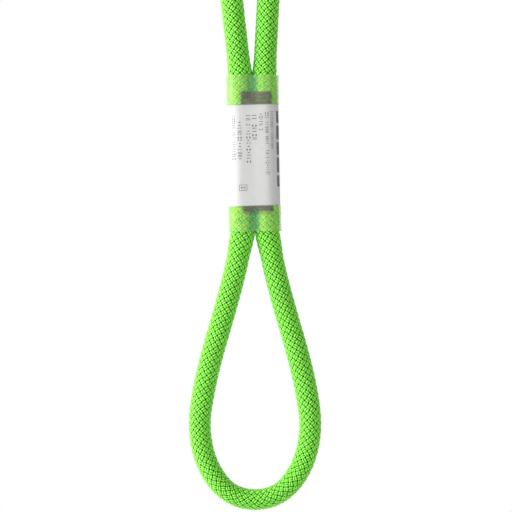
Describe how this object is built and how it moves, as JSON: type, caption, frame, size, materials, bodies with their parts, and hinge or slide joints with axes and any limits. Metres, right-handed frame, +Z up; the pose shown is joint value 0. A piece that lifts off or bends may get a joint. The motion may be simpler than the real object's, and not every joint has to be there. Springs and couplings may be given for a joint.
{
  "type": "climbing rope lanyard",
  "caption": "Double lanyard of kernmantle rope: a tie-in eye, two arms and end loops, each sewn and held in a clear shrink sleeve.",
  "frame": {"origin": "on the axis of the hanging bar that both end loops go over, straight above the lower end of the middle sleeve", "axes": "+Z up, +X along the bar to the right of the label's face, +Y to the back"},
  "size_m": [0.06, 0.0377, 0.3742],
  "materials": {
    "sheath": "matte",
    "core": "matte",
    "stitching": "matte",
    "clear_sleeve": "gloss",
    "label": "satin",
    "sealed_tail": "satin"
  },
  "bodies": {
    "ends": {"left_end_loop_sheath": "sheath", "left_end_loop_core": "core", "left_end_sewn_sheath": "sheath", "left_end_sewn_core": "core", "left_end_stitching": "stitching", "left_end_clear_sleeve": "clear_sleeve", "right_end_loop_sheath": "sheath", "right_end_loop_core": "core", "right_end_sewn_sheath": "sheath", "right_end_sewn_core": "core", "right_end_stitching": "stitching", "right_end_clear_sleeve": "clear_sleeve", "left_tail_seal": "sealed_tail", "right_tail_seal": "sealed_tail"},
    "arms": {"end_neck_sheath": "sheath", "end_neck_core": "core", "left_arm_sheath": "sheath", "left_arm_core": "core", "right_arm_sheath": "sheath", "right_arm_core": "core"},
    "middle": {"middle_neck_sheath": "sheath", "middle_neck_core": "core", "middle_sewn_sheath": "sheath", "middle_sewn_core": "core", "middle_stitching": "stitching", "middle_label": "label", "middle_clear_sleeve": "clear_sleeve"},
    "eye": {"eye_neck_sheath": "sheath", "eye_neck_core": "core", "eye_sheath": "sheath", "eye_core": "core"}
  },
  "joints": [
    {"name": "arms_swing", "type": "hinge", "parent": "ends", "child": "arms", "pos_m": [0, 0, -0.11442], "axis": [1, 0, 0], "range_deg": [-60, 60], "deforming": ["end_neck_sheath", "end_neck_core"]},
    {"name": "middle_swing", "type": "hinge", "parent": "arms", "child": "middle", "pos_m": [0, 0, -0.16452], "axis": [1, 0, 0], "range_deg": [-60, 60], "deforming": ["middle_neck_sheath", "middle_neck_core"]},
    {"name": "eye_swing", "type": "hinge", "parent": "middle", "child": "eye", "pos_m": [0, 0, -0.2429], "axis": [1, 0, 0], "range_deg": [-60, 60], "deforming": ["eye_neck_sheath", "eye_neck_core"]}
  ]
}
